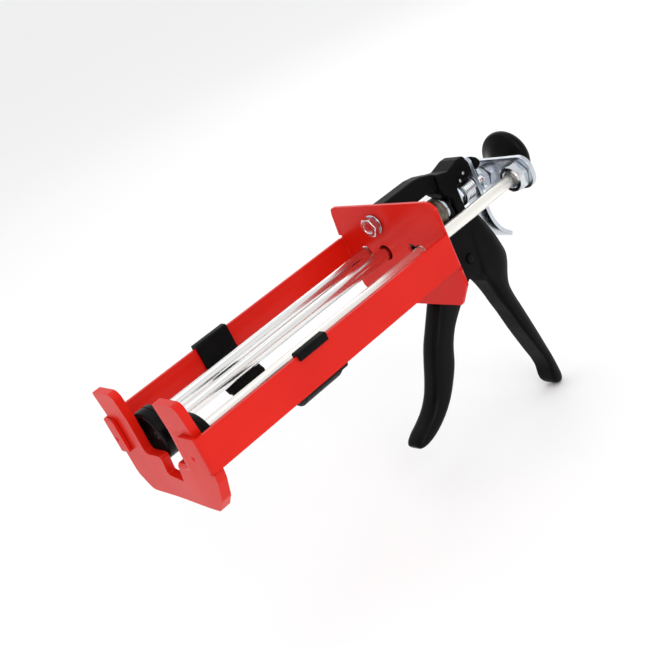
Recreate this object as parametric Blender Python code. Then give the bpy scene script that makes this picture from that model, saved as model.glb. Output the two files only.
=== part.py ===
"""Two-component caulking gun for side-by-side cartridges.

Frame: +X along the barrel towards the nose, +Y to the gun's left, +Z up, with the barrel level.
The origin is the middle of the hand grip's rear face. All working numbers are in millimetres in a
drawing frame (u, v, w): u is 0 at the front face of the rear plate and grows towards the nose,
v is 0 at the outer face of the right rail and grows to the left, w is 0 at the rails' lower edges.
"""

import math

import bmesh
import bpy
from mathutils import Vector

# ---------------------------------------------------------------- driving dimensions, mm
ORIGIN = (-87.0, 37.0, -94.0)  # hand grip, in the drawing frame
WIDTH = 96.0  # over the two rails
LENGTH = 196.7  # rear plate front face to the front of the rails' flanges
SHEET = 2.0  # carrier sheet
RAIL_H = 21.0
PLATE_TOP = 42.0
PLATE_BOTTOM = -27.0
NOSE_T = 5.0
NOSE_TOP = 39.4
NOSE_BOTTOM = -27.5
GAP = 0.3
MID = 37.0  # plane of the body, trigger, handle and drive rod
AXIS_W = 9.5  # height of the rods
ROD_R = 4.0
SIDE_ROD_R = 4.0
V_RIGHT, V_DRIVE, V_LEFT = 19.0, 37.0, 68.5
DISC_R = 15.4
DISC_W = 7.0  # the discs sit a little below the rods
V_DISC_RIGHT, V_DISC_LEFT = 28.0, 68.5
PIVOT = (-52.0, -26.0)  # trigger pin, u and w
LEVER_PIVOT = (-85.7, 27.0)
BOLT_V, BOLT_W = 38.4, 29.8
YOKE_U0, YOKE_U1 = -100.4, -97.0

for old in list(bpy.data.objects):
    bpy.data.objects.remove(old, do_unlink=True)

# ---------------------------------------------------------------- materials


def material(name, rgb, rough, metal):
    mat = bpy.data.materials.new(name)
    mat.use_nodes = True
    shader = mat.node_tree.nodes["Principled BSDF"]
    shader.inputs["Base Color"].default_value = (*rgb, 1)
    shader.inputs["Roughness"].default_value = rough
    shader.inputs["Metallic"].default_value = metal
    return mat


RED = (0.72, 0.045, 0.03)
BLACK = (0.018, 0.016, 0.017)
STEEL = (0.78, 0.78, 0.76)
ZINC = (0.70, 0.73, 0.76)
BROWN = (0.075, 0.06, 0.045)

# ---------------------------------------------------------------- helpers


def place(p):
    return Vector([(a - o) * 0.001 for a, o in zip(p, ORIGIN)])


def finish(bm, name, rgb, rough, metal, smooth=35, hidden=False):
    bmesh.ops.remove_doubles(bm, verts=bm.verts, dist=1e-7)
    bmesh.ops.recalc_face_normals(bm, faces=bm.faces)
    mesh = bpy.data.meshes.new(name)
    bm.to_mesh(mesh)
    bm.free()
    obj = bpy.data.objects.new(name, mesh)
    bpy.context.scene.collection.objects.link(obj)
    if hidden:
        obj.hide_render = True
        obj.display_type = "WIRE"
    else:
        mesh.materials.append(material(name, rgb, rough, metal))
        mesh.shade_smooth()
        mesh.set_sharp_from_angle(angle=math.radians(smooth))
    return obj


def prism(rings):
    """A closed solid between two equal loops of points."""
    bm = bmesh.new()
    a = [bm.verts.new(place(p)) for p in rings[0]]
    b = [bm.verts.new(place(p)) for p in rings[1]]
    bm.faces.new(a)
    bm.faces.new(list(reversed(b)))
    n = len(a)
    for i in range(n):
        bm.faces.new((a[i], b[i], b[(i + 1) % n], a[(i + 1) % n]))
    return bm


def prism_v(pts, v0, v1):
    return prism([[(u, v0, w) for u, w in pts], [(u, v1, w) for u, w in pts]])


def prism_u(pts, u0, u1):
    return prism([[(u0, v, w) for v, w in pts], [(u1, v, w) for v, w in pts]])


def turned(profile, v, w, seg=32):
    """A solid of revolution about a line along u through (v, w). profile holds (u, r), with r 0 at an end on the axis."""
    bm = bmesh.new()
    rings = []
    for u, r in profile:
        if r == 0:
            rings.append([bm.verts.new(place((u, v, w)))])
        else:
            rings.append(
                [
                    bm.verts.new(
                        place(
                            (
                                u,
                                v + r * math.cos(2 * math.pi * k / seg),
                                w + r * math.sin(2 * math.pi * k / seg),
                            )
                        )
                    )
                    for k in range(seg)
                ]
            )
    closed = profile[0] == profile[-1]
    if closed:
        rings[-1] = rings[0]
    for a, b in zip(rings, rings[1:]):
        for k in range(seg):
            m = (k + 1) % seg
            if len(a) == 1:
                bm.faces.new((a[0], b[k], b[m]))
            elif len(b) == 1:
                bm.faces.new((a[k], b[0], a[m]))
            else:
                bm.faces.new((a[k], b[k], b[m], a[m]))
    if not closed:
        for end in (rings[0], rings[-1]):
            if len(end) > 1:
                bm.faces.new(end)
    return bm


def rod(u0, u1, r, v, w, seg=32, chamfer=0.5):
    return turned(
        [(u0, 0), (u0, r - chamfer), (u0 + chamfer, r), (u1 - chamfer, r), (u1, r - chamfer), (u1, 0)], v, w, seg
    )


def tube(u0, u1, r_in, r_out, v, w, seg=32, c=0.3):
    return turned(
        [
            (u0, r_in),
            (u0, r_out - c),
            (u0 + c, r_out),
            (u1 - c, r_out),
            (u1, r_out - c),
            (u1, r_in),
            (u0, r_in),
        ],
        v,
        w,
        seg,
    )


def pin_v(v0, v1, r, u, w, seg=24):
    """A pin along v."""
    pts = [(u + r * math.cos(2 * math.pi * k / seg), w + r * math.sin(2 * math.pi * k / seg)) for k in range(seg)]
    return prism_v(pts, v0, v1)


def hexagon(across_flats, v, w, turn=0.0):
    r = across_flats / math.sqrt(3)
    return [
        (v + r * math.cos(math.radians(turn + 60 * k)), w + r * math.sin(math.radians(turn + 60 * k)))
        for k in range(6)
    ]


def nut(u0, u1, across_flats, r_in, v, w, turn=0.0, seg=24):
    """A hexagonal nut along u: its corners are the hexagon's, and its bore has seg sides."""
    bm = bmesh.new()
    outer, inner = [], []
    for u in (u0, u1):
        outer.append([bm.verts.new(place((u, a, b))) for a, b in hexagon(across_flats, v, w, turn)])
        inner.append(
            [
                bm.verts.new(
                    place(
                        (
                            u,
                            v + r_in * math.cos(math.radians(turn) + 2 * math.pi * k / seg),
                            w + r_in * math.sin(math.radians(turn) + 2 * math.pi * k / seg),
                        )
                    )
                )
                for k in range(seg)
            ]
        )
    per = seg // 6
    for o, i in zip(outer, inner):
        for k in range(6):
            nxt = (k + 1) % 6
            for j in range(per):
                a, b = i[(k * per + j) % seg], i[(k * per + j + 1) % seg]
                bm.faces.new((o[k], a, b))
            bm.faces.new((o[k], i[(nxt * per) % seg], o[nxt]))
    for k in range(6):
        bm.faces.new((outer[0][k], outer[1][k], outer[1][(k + 1) % 6], outer[0][(k + 1) % 6]))
    for k in range(seg):
        bm.faces.new((inner[0][k], inner[0][(k + 1) % seg], inner[1][(k + 1) % seg], inner[1][k]))
    return bm


def coil(u0, u1, mean_r, wire_r, turns, v, w, per_turn=16, sides=6):
    """A helical spring along u, as a swept tube with closed ends."""
    bm = bmesh.new()
    n = int(turns * per_turn)
    pitch = (u1 - u0 - 2 * wire_r) / n
    rings = []
    for i in range(n + 1):
        t = 2 * math.pi * i / per_turn
        centre = Vector((u0 + wire_r + pitch * i, v + mean_r * math.cos(t), w + mean_r * math.sin(t)))
        radial = Vector((0, math.cos(t), math.sin(t)))
        along = Vector((1, 0, 0))
        ring = []
        for k in range(sides):
            a = 2 * math.pi * k / sides
            ring.append(bm.verts.new(place(centre + wire_r * (math.cos(a) * radial + math.sin(a) * along))))
        rings.append(ring)
    for a, b in zip(rings, rings[1:]):
        for k in range(sides):
            m = (k + 1) % sides
            bm.faces.new((a[k], b[k], b[m], a[m]))
    bm.faces.new(rings[0])
    bm.faces.new(rings[-1])
    return bm


def rounded(pts, radii, steps=4):
    """A polygon with each corner replaced by an arc. radii holds one radius for each corner, 0 to keep it."""
    out = []
    n = len(pts)
    for i in range(n):
        p, r = Vector(pts[i]), radii[i]
        if r <= 0:
            out.append(tuple(p))
            continue
        a = (Vector(pts[i - 1]) - p).normalized()
        b = (Vector(pts[(i + 1) % n]) - p).normalized()
        half = math.acos(max(-1, min(1, a.dot(b)))) / 2
        reach = r / math.tan(half)
        centre = p + (a + b).normalized() * (r / math.sin(half))
        start, end = p + a * reach, p + b * reach
        s, e = start - centre, end - centre
        for k in range(steps + 1):
            d = s.lerp(e, k / steps).normalized() * r
            out.append(tuple(centre + d))
    return out


def cut(obj, cutter, op="DIFFERENCE"):
    mod = obj.modifiers.new(cutter.name, "BOOLEAN")
    mod.object = cutter
    mod.operation = op
    mod.solver = "EXACT"


def bevel(obj, width, segments, angle=60):
    mod = obj.modifiers.new("edges", "BEVEL")
    mod.width = width * 0.001
    mod.segments = segments
    mod.limit_method = "ANGLE"
    mod.angle_limit = math.radians(angle)


def helper(bm, name):
    return finish(bm, name, None, 0, 0, hidden=True)


# ---------------------------------------------------------------- carrier: rear plate with two rails and their flanges

plate_outline = rounded(
    [
        (0, PLATE_TOP),
        (WIDTH, PLATE_TOP),
        (WIDTH, 0),
        (WIDTH, -13),
        (WIDTH - 12, PLATE_BOTTOM),
        (12, PLATE_BOTTOM),
        (0, -13),
        (0, 0),
    ],
    [4, 9, 0, 3, 3, 3, 3, 0],
)
carrier = finish(prism_u(plate_outline, -SHEET, 0), "carrier_frame", RED, 0.32, 0.0)
for side, v0, reach in (("right", 0.0, 12.0), ("left", WIDTH, 18.0)):
    s = 1 if side == "right" else -1
    rail = [
        (-SHEET, v0),
        (LENGTH, v0),
        (LENGTH, v0 + s * reach),
        (LENGTH - SHEET, v0 + s * reach),
        (LENGTH - SHEET, v0 + s * SHEET),
        (-SHEET, v0 + s * SHEET),
    ]
    rail = rounded(rail, [0, 3.0, 0, 0, 1.0, 0], 3)
    loops = [[(u, v, w) for u, v in rail] for w in (0.0, RAIL_H)]
    cut(carrier, helper(prism(loops), f"cutter_rail_{side}"), "UNION")
# bend reliefs at the rails' lower rear corners
for side, v0 in (("right", 0.0), ("left", WIDTH)):
    cut(carrier, helper(prism_u(rounded([(v0 - 2, -2.6), (v0 + 2, -2.6), (v0 + 2, -0.1), (v0 - 2, -0.1)], [0] * 4), -4, 2), f"cutter_relief_{side}"))
for name, v, w, r in (
    ("right", V_RIGHT, AXIS_W, 4.8),
    ("drive", V_DRIVE, AXIS_W, 5.2),
    ("left", V_LEFT, AXIS_W, 4.9),
    ("keyhole", V_LEFT - 6.5, AXIS_W + 2.5, 3.4),
    ("bolt", BOLT_V, BOLT_W, 3.3),
):
    cut(carrier, helper(rod(-6, 4, r, v, w, 24, 0.1), f"cutter_hole_{name}"))

# ---------------------------------------------------------------- nose plate: two prongs, a stepped throat and a wide foot

U_NOSE0 = LENGTH - SHEET - GAP - NOSE_T
U_NOSE1 = LENGTH - SHEET - GAP
nose_outline = rounded(
    [
        (5.0, NOSE_TOP),
        (26.5, NOSE_TOP),
        (25.5, 0.0),
        (41.6, 0.3),
        (39.0, -11.5),
        (54.5, -13.2),
        (59.0, 0.0),
        (67.5, 0.0),
        (69.0, NOSE_TOP),
        (90.5, NOSE_TOP),
        (91.0, -GAP - 0.4),
        (94.0, -GAP - 0.4),
        (92.4, -7.0),
        (86.4, -19.5),
        (79.0, NOSE_BOTTOM),
        (9.0, NOSE_BOTTOM),
        (1.2, -17.0),
        (1.2, -GAP - 0.4),
        (4.5, -GAP - 0.4),
    ],
    [4, 4, 3, 2, 1.5, 1.5, 1, 1, 4, 4, 0, 1.5, 4, 4, 4, 7, 9, 1.5, 0],
)
nose = finish(prism_u(nose_outline, U_NOSE0, U_NOSE1), "nose_plate", RED, 0.32, 0.0)

# ---------------------------------------------------------------- cartridge clips on the rails


def clip_section(mirror):
    """The clip's section in v and w: a lip over the rail, a wall inside it and a cradle under the cartridge."""
    r0, r1 = 22.2, 24.2
    inner = [
        (V_DISC_RIGHT + r0 * math.cos(math.radians(a)), AXIS_W + r0 * math.sin(math.radians(a)))
        for a in range(222, 303, 8)
    ]
    outer = [
        (V_DISC_RIGHT + r1 * math.cos(math.radians(a)), AXIS_W + r1 * math.sin(math.radians(a)))
        for a in range(301, 213, -8)
    ]
    pts = (
        [(-1.9, 18.6), (-0.35, 18.6), (-0.35, 21.35), (2.35, 21.35), (2.35, -1.6)]
        + [(3.4, -3.4)]
        + list(reversed(outer))
        + list(reversed(inner))
        + [(6.4, -1.0), (4.2, 2.0), (4.2, 22.0), (3.2, 23.2), (-1.0, 23.2), (-1.9, 22.4)]
    )
    return [(WIDTH - v, w) if mirror else (v, w) for v, w in pts]


def clip(name, mirror):
    obj = finish(prism_u(clip_section(mirror), *((96.5, 124.5) if mirror else (100.5, 127.5))), name, BLACK, 0.5, 0.0)
    # the lip over the rail is shorter than the cradle
    box = [(v, w) for v, w in ((-4, 6), (8, 6), (8, 26), (-4, 26))]
    if mirror:
        box = [(WIDTH - v, w) for v, w in box]
    cut(obj, helper(prism_u(box, 90.0, 103.5), f"cutter_{name}"))
    return obj


clip("clip_right", False)
clip("clip_left", True)

# ---------------------------------------------------------------- body casting: front wall, arm, block, cheeks and handle

handle_outline = [
    (-66.0, 2.0),
    (-66.5, -3.0),
    (-72.0, -3.4),
    (-76.8, -5.0),
    (-79.5, -12.0),
    (-83.4, -22.5),
    (-87.0, -34.0),
    (-88.8, -40.5),
    (-88.0, -46.5),
    (-84.0, -54.5),
    (-81.2, -61.5),
    (-83.4, -77.5),
    (-87.0, -94.0),
    (-90.0, -109.0),
    (-92.6, -125.0),
    (-94.6, -137.0),
    (-95.6, -145.0),
    (-94.2, -149.4),
    (-91.0, -150.2),
    (-85.5, -146.8),
    (-82.6, -142.4),
    (-84.0, -132.0),
    (-83.2, -125.0),
    (-80.6, -118.0),
    (-77.2, -106.5),
    (-73.4, -93.5),
    (-69.8, -79.5),
    (-66.0, -66.5),
    (-62.8, -55.0),
    (-60.6, -47.5),
    (-50.0, -39.5),
    (-50.0, 2.0),
]
body = finish(prism_v(handle_outline, MID - 8.0, MID + 8.0), "body_casting", BLACK, 0.45, 0.0)
bevel(body, 2.5, 3, 50)

cheek_outline = [
    (-2.3, 3.5),
    (-66.2, 3.5),
    (-70.0, -4.5),
    (-76.0, -12.5),
    (-80.5, -24.0),
    (-83.5, -36.0),
    (-82.0, -46.0),
    (-74.0, -56.0),
    (-64.5, -58.0),
    (-61.5, -49.0),
    (-56.0, -43.5),
    (-46.0, -38.5),
    (-30.0, -33.0),
    (-2.3, -24.0),
]
cheeks = helper(prism_v(cheek_outline, MID - 11.0, MID + 11.0), "cutter_cheeks")
cut(body, cheeks, "UNION")
front_wall = helper(prism_u([(27.0, -20), (47.0, -20), (47.0, 38.8), (27.0, 38.8)], -9.0, -2.31), "cutter_front_wall")
cut(body, front_wall, "UNION")
arm_outline = [
    (-2.32, 24.8),
    (-51.2, 24.8),
    (-60.0, 18.0),
    (-60.0, 31.6),
    (-54.0, 34.3),
    (-45.5, 37.4),
    (-38.0, 38.6),
    (-2.32, 38.6),
]
arm = helper(prism_v(arm_outline, MID - 5.8, MID + 5.8), "cutter_arm")
bevel(arm, 1.0, 1)
cut(body, arm, "UNION")
block_outline = [
    (-51.8, 24.4),
    (-53.6, 19.5),
    (-58.8, 14.0),
    (-58.8, 0.0),
    (-66.7, 0.0),
    (-66.7, 17.8),
    (-73.6, 18.0),
    (-81.4, 18.6),
    (-81.9, 29.6),
    (-80.0, 31.8),
    (-72.0, 31.6),
    (-63.5, 30.8),
    (-57.0, 32.8),
    (-53.2, 34.0),
]
block = helper(prism_v(block_outline, MID - 8.4, MID + 8.4), "cutter_block")

cut(body, block, "UNION")
lug_outline = [
    (-76.0, 18.3),
    (-90.2, 18.9),
    (-93.6, 20.0),
    (-94.2, 22.6),
    (-92.4, 26.0),
    (-88.6, 28.4),
    (-78.0, 29.0),
]
lug = helper(prism_v(rounded(lug_outline, [0, 1.5, 1, 1, 2, 2, 0], 2), MID - 10.2, MID + 7.9), "cutter_lug")

cut(body, lug, "UNION")
slot = helper(prism_v([(-82.7, 14.0), (-83.4, 36.0), (-88.2, 36.0), (-87.7, 14.0)], MID - 7.4, MID + 12.0), "cutter_lever_slot")
cut(body, slot)
cavity = helper(
    prism_v(
        [
            (-9.0, 6.0),
            (-58.8, 6.0),
            (-59.6, -17.0),
            (-61.4, -22.5),
            (-61.8, -28.0),
            (-61.2, -36.0),
            (-60.2, -46.0),
            (-60.2, -70.0),
            (-9.0, -70.0),
        ],
        MID - 8.3,
        MID + 8.3,
    ),
    "cutter_cavity",
)
cut(body, cavity)
cut(body, helper(rod(-12.0, 0.0, 4.3, V_DRIVE, AXIS_W, 32, 0.1), "cutter_front_bore"))
cut(body, helper(rod(-90.0, -50.0, 4.3, V_DRIVE, AXIS_W, 32, 0.1), "cutter_block_bore"))
cut(body, helper(rod(-13.0, 0.0, 3.2, BOLT_V, BOLT_W, 24, 0.1), "cutter_bolt_bore"))
cut(body, helper(pin_v(MID - 20, MID + 20, 3.05, *PIVOT), "cutter_pin_bore"))
cut(body, helper(pin_v(MID - 2, MID + 20, 1.45, -75.2, 23.2, 16), "cutter_dowel_upper"))
cut(body, helper(pin_v(MID - 2, MID + 20, 1.45, -70.6, 20.4, 16), "cutter_dowel_lower"))
# the handle's shallow side panels
for side, v0, v1 in (("left", MID + 6.6, MID + 9.0), ("right", MID - 9.0, MID - 6.6)):
    panel = [
        (-70.5, -70.0),
        (-76.5, -70.0),
        (-81.5, -95.0),
        (-86.5, -122.0),
        (-89.5, -134.0),
        (-87.4, -134.5),
        (-84.4, -121.0),
        (-78.8, -102.0),
    ]
    cut(body, helper(prism_v(panel, v0, v1), f"cutter_panel_{side}"))

# ---------------------------------------------------------------- fasteners of the body
head = turned([(1.9, 0), (1.9, 5.2), (2.1, 5.75), (6.3, 5.75), (6.3, 0)], BOLT_V, BOLT_W, 6)
bolt = finish(head, "carrier_bolt", ZINC, 0.25, 1.0, 20)
cut(bolt, helper(rod(-8.6, 3.5, 2.9, BOLT_V, BOLT_W, 20), "cutter_bolt_shank"), "UNION")
finish(tube(0.3, 1.6, 3.3, 6.6, BOLT_V, BOLT_W, 32), "carrier_bolt_washer", ZINC, 0.3, 1.0)
finish(pin_v(MID - 10.9, MID + 10.9, 2.95, *PIVOT), "trigger_pin", ZINC, 0.3, 1.0)
finish(pin_v(MID + 1, MID + 8.7, 1.3, -75.2, 23.2, 16), "dowel_upper", ZINC, 0.25, 1.0)
finish(pin_v(MID + 1, MID + 8.7, 1.3, -70.6, 20.4, 16), "dowel_lower", ZINC, 0.25, 1.0)

# ---------------------------------------------------------------- trigger: a channel with a fork over the drive rod

trigger_outline = [
    (-46.0, -20.5),
    (-36.0, -22.0),
    (-24.0, -28.5),
    (-15.5, -37.0),
    (-10.7, -43.0),
    (-4.7, -50.8),
    (1.0, -58.3),
    (6.0, -66.8),
    (11.6, -78.2),
    (16.5, -86.5),
    (23.0, -93.2),
    (30.5, -97.8),
    (38.5, -101.2),
    (42.6, -103.6),
    (44.0, -107.0),
    (42.0, -110.0),
    (38.0, -111.0),
    (32.0, -110.6),
    (23.3, -108.2),
    (13.4, -103.4),
    (5.0, -97.6),
    (-2.2, -90.8),
    (-10.3, -80.8),
    (-16.0, -69.2),
    (-21.7, -61.0),
    (-27.2, -56.4),
    (-35.2, -50.6),
    (-44.0, -44.5),
    (-51.0, -39.5),
    (-56.5, -33.0),
    (-59.0, -28.0),
    (-58.2, -21.5),
    (-54.0, -18.4),
]
trigger = finish(prism_v(trigger_outline, MID - 8.0, MID + 8.0), "trigger", BLACK, 0.38, 0.0)
bevel(trigger, 3.5, 3)
channel = [
    (-44.0, -27.0),
    (-31.0, -32.0),
    (-21.0, -41.5),
    (-11.0, -53.5),
    (-4.0, -63.0),
    (1.8, -74.0),
    (8.0, -85.0),
    (15.0, -94.0),
    (24.0, -100.0),
    (33.0, -104.0),
    (48.0, -108.5),
    (48.0, -122.0),
    (-10.0, -122.0),
    (-30.0, -90.0),
    (-46.0, -60.0),
    (-52.0, -44.0),
    (-44.0, -36.0),
]
cut(trigger, helper(prism_v(channel, MID - 4.8, MID + 4.8), "cutter_channel"))
fork = [
    (-57.6, -24.0),
    (-57.8, -8.0),
    (-57.6, 6.0),
    (-56.6, 13.0),
    (-54.6, 14.6),
    (-53.2, 12.6),
    (-53.0, 9.5),
    (-53.3, 5.0),
    (-54.0, -6.0),
    (-50.0, -17.0),
    (-46.0, -24.0),
]
for side, v0, v1 in (("left", MID + 4.9, MID + 7.7), ("right", MID - 7.7, MID - 4.9)):
    cut(trigger, helper(prism_v(fork, v0, v1), f"cutter_fork_{side}"), "UNION")
cut(trigger, helper(pin_v(MID - 20, MID + 20, 3.05, *PIVOT), "cutter_trigger_bore"))

# ---------------------------------------------------------------- drive: spring, sleeve and thrust washer on the drive rod
finish(coil(-33.4, -9.3, 6.6, 0.6, 6.0, V_DRIVE, AXIS_W), "drive_spring", STEEL, 0.3, 1.0, 60)
finish(tube(-50.4, -33.8, 4.3, 9.5, V_DRIVE, AXIS_W, 32, 0.8), "drive_sleeve", BROWN, 0.45, 0.6)
finish(tube(-52.6, -50.7, 4.4, 9.2, V_DRIVE, AXIS_W, 32, 0.4), "thrust_washer", ZINC, 0.25, 1.0)

# ---------------------------------------------------------------- rod lock: gland nut, washer, spring and release lever
finish(nut(-71.4, -67.0, 11.5, 4.3, V_DRIVE, AXIS_W, 0), "gland_nut", ZINC, 0.25, 1.0, 20)
finish(tube(-73.2, -71.7, 4.4, 8.0, V_DRIVE, AXIS_W, 32, 0.3), "lock_spring_washer", ZINC, 0.25, 1.0)
finish(coil(-83.8, -73.5, 6.5, 0.65, 3.5, V_DRIVE, AXIS_W), "lock_spring", STEEL, 0.25, 1.0, 60)
lever_outline = [
    (-84.2, 29.0),
    (-87.2, 29.0),
    (-87.2, -11.5),
    (-88.4, -18.5),
    (-91.2, -25.0),
    (-96.0, -30.8),
    (-102.2, -34.8),
    (-101.0, -37.4),
    (-94.4, -33.4),
    (-88.8, -27.0),
    (-85.6, -19.4),
    (-84.2, -11.8),
]
lever = finish(prism_v(lever_outline, MID - 7.0, MID + 7.0), "release_lever", ZINC, 0.3, 1.0)
for side, v0, v1 in (("left", MID + 6.5, MID + 9.0), ("right", MID - 9.0, MID - 6.5)):
    cut(lever, helper(prism_v([(-80.0, -4.0), (-105.0, -4.0), (-105.0, -40.0), (-80.0, -40.0)], v0, v1), f"cutter_lever_{side}"))
cut(lever, helper(rod(-90.0, -80.0, 4.65, V_DRIVE, AXIS_W, 32, 0.1), "cutter_lever_hole"))

# ---------------------------------------------------------------- plunger: rods, discs, yoke, nuts and knob
ROD_U0, ROD_U1 = -100.0, 184.0
finish(rod(-112.0, ROD_U1, ROD_R, V_DRIVE, AXIS_W, 32), "drive_rod", STEEL, 0.18, 1.0)
finish(rod(ROD_U0, ROD_U1, ROD_R, V_RIGHT, AXIS_W, 32), "push_rod_right", STEEL, 0.18, 1.0)
finish(rod(ROD_U0, ROD_U1, SIDE_ROD_R, V_LEFT, AXIS_W, 28), "push_rod_left", STEEL, 0.25, 1.0)


def disc(name, v, bores):
    profile = [
        (178.5, 0),
        (178.5, DISC_R - 1.4),
        (179.6, DISC_R),
        (187.6, DISC_R),
        (188.6, DISC_R - 1.0),
        (188.6, DISC_R - 1.8),
        (186.8, DISC_R - 2.6),
        (186.4, 0),
    ]
    obj = finish(turned(profile, v, DISC_W, 48), name, BLACK, 0.35, 0.0)
    for i, (bv, r) in enumerate(bores):
        cut(obj, helper(rod(170.0, 184.4, r + 0.25, bv, AXIS_W, 32, 0.05), f"cutter_{name}_{i}"))
        cut(obj, helper(rod(180.0, 195.0, 2.6, bv, AXIS_W, 24, 0.05), f"cutter_{name}_screw_{i}"))
    return obj


disc("plunger_disc_right", V_DISC_RIGHT, [(V_RIGHT, ROD_R), (V_DRIVE, ROD_R)])
disc("plunger_disc_left", V_DISC_LEFT, [(V_LEFT, SIDE_ROD_R)])
for name, v in (("right", V_RIGHT), ("drive", V_DRIVE), ("left", V_LEFT)):
    profile = [(184.6, 0), (184.6, 2.3), (187.0, 2.3), (187.0, 3.2), (187.6, 3.2), (188.4, 2.3), (188.6, 0)]
    finish(turned(profile, v, AXIS_W, 24), f"disc_screw_{name}", ZINC, 0.3, 1.0)

yoke_outline = rounded([(7.5, -1.2), (80.0, -1.2), (80.0, 21.0), (7.5, 21.0)], [6, 6, 6, 6], 5)
yoke = finish(prism_u(yoke_outline, YOKE_U0, YOKE_U1), "yoke_plate", ZINC, 0.22, 1.0)
for name, v, r in (("right", V_RIGHT, ROD_R), ("drive", V_DRIVE, ROD_R), ("left", V_LEFT, SIDE_ROD_R)):
    cut(yoke, helper(rod(-106.0, -90.0, r + 0.25, v, AXIS_W, 32, 0.05), f"cutter_yoke_{name}"))
finish(nut(-96.7, -90.4, 14.0, 4.3, V_DRIVE, AXIS_W, 10), "yoke_nut_drive", ZINC, 0.2, 1.0, 20)
finish(nut(-96.7, -90.4, 14.0, 4.3, V_RIGHT, AXIS_W, 20), "yoke_nut_right", ZINC, 0.2, 1.0, 20)
finish(nut(-96.7, -89.0, 17.0, 5.4, V_LEFT, AXIS_W, 12), "yoke_nut_left", ZINC, 0.2, 1.0, 20)
finish(tube(-102.3, -100.7, 4.3, 9.5, V_DRIVE, AXIS_W, 32), "knob_washer", ZINC, 0.2, 1.0)
knob_profile = [
    (-102.6, 0),
    (-102.6, 8.6),
    (-105.0, 7.6),
    (-110.0, 7.4),
    (-114.0, 8.8),
    (-117.5, 12.4),
    (-120.0, 16.4),
    (-122.4, 18.3),
    (-124.8, 18.5),
    (-127.6, 17.0),
    (-130.6, 13.2),
    (-132.8, 8.0),
    (-133.6, 0),
]
knob = finish(turned(list(reversed(knob_profile)), V_DRIVE, AXIS_W, 40), "pull_knob", BLACK, 0.25, 0.0)
cut(knob, helper(rod(-112.5, -95.0, ROD_R + 0.25, V_DRIVE, AXIS_W, 32, 0.05), "cutter_knob"))

# ---------------------------------------------------------------- each moving piece turns or slides about its own empty


def empty(name, u, v, w):
    obj = bpy.data.objects.new(name, None)
    obj.location = place((u, v, w))
    bpy.context.scene.collection.objects.link(obj)
    return obj


groups = {
    empty("trigger_axis", PIVOT[0], MID, PIVOT[1]): ["trigger"],
    empty("drive_axis", -42.0, V_DRIVE, AXIS_W): ["drive_sleeve", "thrust_washer"],
    empty("lever_axis", LEVER_PIVOT[0], MID, LEVER_PIVOT[1]): ["release_lever"],
    empty("plunger_axis", 0.0, V_DRIVE, AXIS_W): [
        "drive_rod",
        "push_rod_right",
        "push_rod_left",
        "plunger_disc_right",
        "plunger_disc_left",
        "disc_screw_right",
        "disc_screw_drive",
        "disc_screw_left",
        "yoke_plate",
        "yoke_nut_drive",
        "yoke_nut_right",
        "yoke_nut_left",
        "knob_washer",
        "pull_knob",
    ],
}
bpy.context.view_layer.update()
for parent, names in groups.items():
    for name in names:
        child = bpy.data.objects[name]
        child.parent = parent
        child.matrix_parent_inverse = parent.matrix_world.inverted()
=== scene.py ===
"""Looks of the two-component caulking gun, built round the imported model."""

import math

import bmesh
import bpy
from mathutils import Matrix, Vector


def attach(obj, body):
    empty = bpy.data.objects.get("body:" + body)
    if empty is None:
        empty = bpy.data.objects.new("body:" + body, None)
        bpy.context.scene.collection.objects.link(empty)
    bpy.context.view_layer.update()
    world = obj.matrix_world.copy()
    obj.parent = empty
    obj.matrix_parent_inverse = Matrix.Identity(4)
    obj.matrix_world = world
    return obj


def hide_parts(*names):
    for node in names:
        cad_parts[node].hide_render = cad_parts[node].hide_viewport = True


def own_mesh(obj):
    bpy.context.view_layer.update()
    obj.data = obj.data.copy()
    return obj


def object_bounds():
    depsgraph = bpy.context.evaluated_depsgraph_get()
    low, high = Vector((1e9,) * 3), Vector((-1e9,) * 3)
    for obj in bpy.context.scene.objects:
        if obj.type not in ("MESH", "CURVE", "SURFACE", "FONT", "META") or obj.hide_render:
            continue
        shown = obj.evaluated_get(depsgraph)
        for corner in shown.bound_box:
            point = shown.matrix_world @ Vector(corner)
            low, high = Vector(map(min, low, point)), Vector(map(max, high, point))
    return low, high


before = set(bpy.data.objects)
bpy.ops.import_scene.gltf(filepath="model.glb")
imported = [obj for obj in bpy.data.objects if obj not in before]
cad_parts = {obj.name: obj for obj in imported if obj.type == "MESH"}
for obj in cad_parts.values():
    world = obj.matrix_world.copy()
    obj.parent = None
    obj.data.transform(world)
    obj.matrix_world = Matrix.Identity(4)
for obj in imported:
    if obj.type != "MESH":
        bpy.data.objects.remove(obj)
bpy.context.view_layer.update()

# The drawing frame of the CAD, in millimetres: u forward, v to the gun's left, w up.
ORIGIN = (-87.0, 37.0, -94.0)
WIDTH, LENGTH, SHEET, RAIL_H = 96.0, 196.7, 2.0, 21.0
MID, AXIS_W = 37.0, 9.5
V_RIGHT, V_DRIVE, V_LEFT = 19.0, 37.0, 68.5
V_DISC_RIGHT, V_DISC_LEFT = 28.0, 68.5
DISC_R, DISC_W = 15.4, 7.0
ROD_R, SIDE_ROD_R = 4.0, 4.0
PIVOT = (-52.0, -26.0)
BOLT_V, BOLT_W = 38.4, 29.8


def place(p):
    return Vector([(a - o) * 0.001 for a, o in zip(p, ORIGIN)])


# ================================================================ materials


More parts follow.
